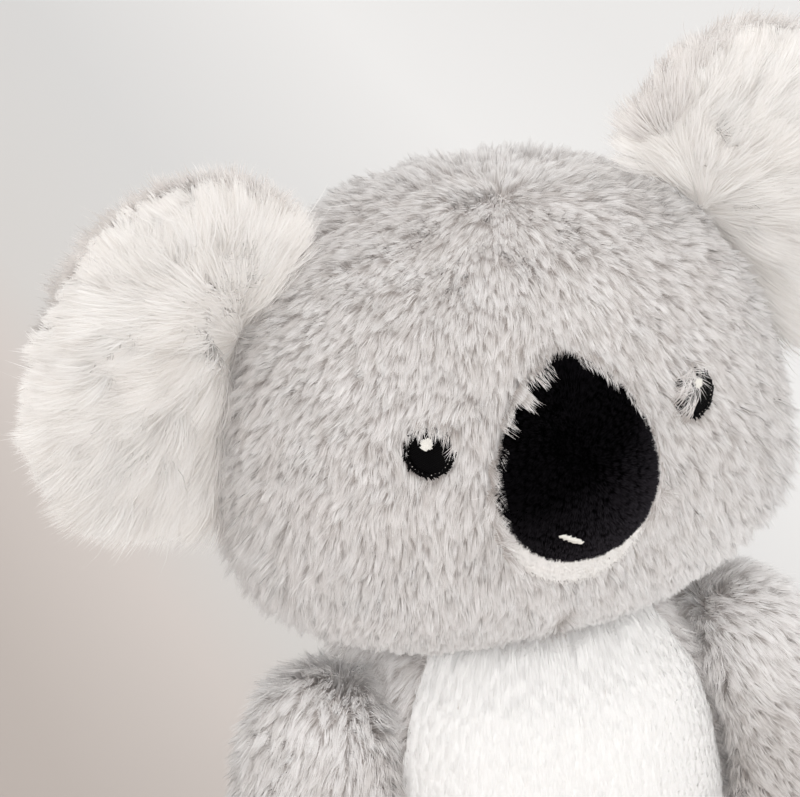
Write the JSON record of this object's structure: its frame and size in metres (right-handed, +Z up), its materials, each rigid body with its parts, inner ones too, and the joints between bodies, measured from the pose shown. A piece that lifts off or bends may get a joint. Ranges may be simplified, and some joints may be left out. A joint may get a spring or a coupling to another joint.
{
  "type": "plush koala",
  "caption": "Seated plush koala with long grey pile, white belly and ears, black nose and embroidered eyes.",
  "frame": {"origin": "on the floor, under the middle of the toy's bounding box", "axes": "+Z up from the floor it sits on; the face looks along -Y; the toy's left side is +X"},
  "size_m": [0.234, 0.1735, 0.2646],
  "materials": {
    "grey_long_pile": "brushed long pile",
    "white_long_pile": "brushed long pile",
    "white_short_pile": "short pile",
    "off_white_velour": "velour",
    "black_velour": "velour",
    "black_thread": "satin stitch",
    "white_thread": "satin stitch",
    "polyester_stuffing": "loose fibre",
    "pellet_bag_cloth": "woven"
  },
  "bodies": {
    "torso": {"belly_panel": "white_short_pile", "back_panel_left": "grey_long_pile", "back_panel_right": "grey_long_pile", "seat_panel": "grey_long_pile", "pellet_bag": "pellet_bag_cloth", "torso_stuffing": "polyester_stuffing"},
    "head": {"cheek_panel_left": "grey_long_pile", "cheek_panel_right": "grey_long_pile", "head_back_panel_left": "grey_long_pile", "head_back_panel_right": "grey_long_pile", "forehead_gusset": "grey_long_pile", "head_stuffing": "polyester_stuffing", "muzzle_panel": "off_white_velour", "nose_cover": "black_velour", "nose_stuffing": "polyester_stuffing", "nose_highlight": "white_thread", "eye_left": "black_thread", "eye_right": "black_thread", "eye_highlight_left": "white_thread", "eye_highlight_right": "white_thread"},
    "ear_left": {"ear_left_front": "white_long_pile", "ear_left_back": "grey_long_pile"},
    "ear_right": {"ear_right_front": "white_long_pile", "ear_right_back": "grey_long_pile"},
    "arm_left": {"arm_left_outer_panel": "grey_long_pile", "arm_left_inner_panel": "grey_long_pile", "arm_left_stuffing": "polyester_stuffing"},
    "arm_right": {"arm_right_outer_panel": "grey_long_pile", "arm_right_inner_panel": "grey_long_pile", "arm_right_stuffing": "polyester_stuffing"},
    "leg_left": {"leg_left_top_panel": "grey_long_pile", "leg_left_under_panel": "grey_long_pile", "leg_left_sole": "white_short_pile", "leg_left_stuffing": "polyester_stuffing"},
    "leg_right": {"leg_right_top_panel": "grey_long_pile", "leg_right_under_panel": "grey_long_pile", "leg_right_sole": "white_short_pile", "leg_right_stuffing": "polyester_stuffing"}
  },
  "joints": [
    {"name": "head_turn", "type": "hinge", "parent": "torso", "child": "head", "pos_m": [0, 0.02886, 0.125], "axis": [0, 0, 1], "range_deg": [-35, 35], "stiffness_Nm_per_rad": 0.2},
    {"name": "ear_left_fold", "type": "hinge", "parent": "head", "child": "ear_left", "pos_m": [0.06326, 0.02991, 0.21234], "axis": [-0.546, 0, 0.8378], "range_deg": [-15, 15], "stiffness_Nm_per_rad": 0.05},
    {"name": "ear_right_fold", "type": "hinge", "parent": "head", "child": "ear_right", "pos_m": [-0.06746, 0.0299, 0.2037], "axis": [-0.4182, 0, -0.9084], "range_deg": [-15, 15], "stiffness_Nm_per_rad": 0.05},
    {"name": "arm_left_raise", "type": "hinge", "parent": "torso", "child": "arm_left", "pos_m": [0.03754, 0.01786, 0.1215], "axis": [0, -1, 0], "range_deg": [0, 24], "stiffness_Nm_per_rad": 0.05},
    {"name": "arm_right_raise", "type": "hinge", "parent": "torso", "child": "arm_right", "pos_m": [-0.03754, 0.01786, 0.1215], "axis": [0, 1, 0], "range_deg": [0, 24], "stiffness_Nm_per_rad": 0.05},
    {"name": "leg_left_lift", "type": "hinge", "parent": "torso", "child": "leg_left", "pos_m": [0.03478, -0.02078, 0.04851], "axis": [-1, 0, 0], "range_deg": [0, 25], "stiffness_Nm_per_rad": 0.08},
    {"name": "leg_right_lift", "type": "hinge", "parent": "torso", "child": "leg_right", "pos_m": [-0.03478, -0.02078, 0.04851], "axis": [-1, 0, 0], "range_deg": [0, 25], "stiffness_Nm_per_rad": 0.08}
  ]
}
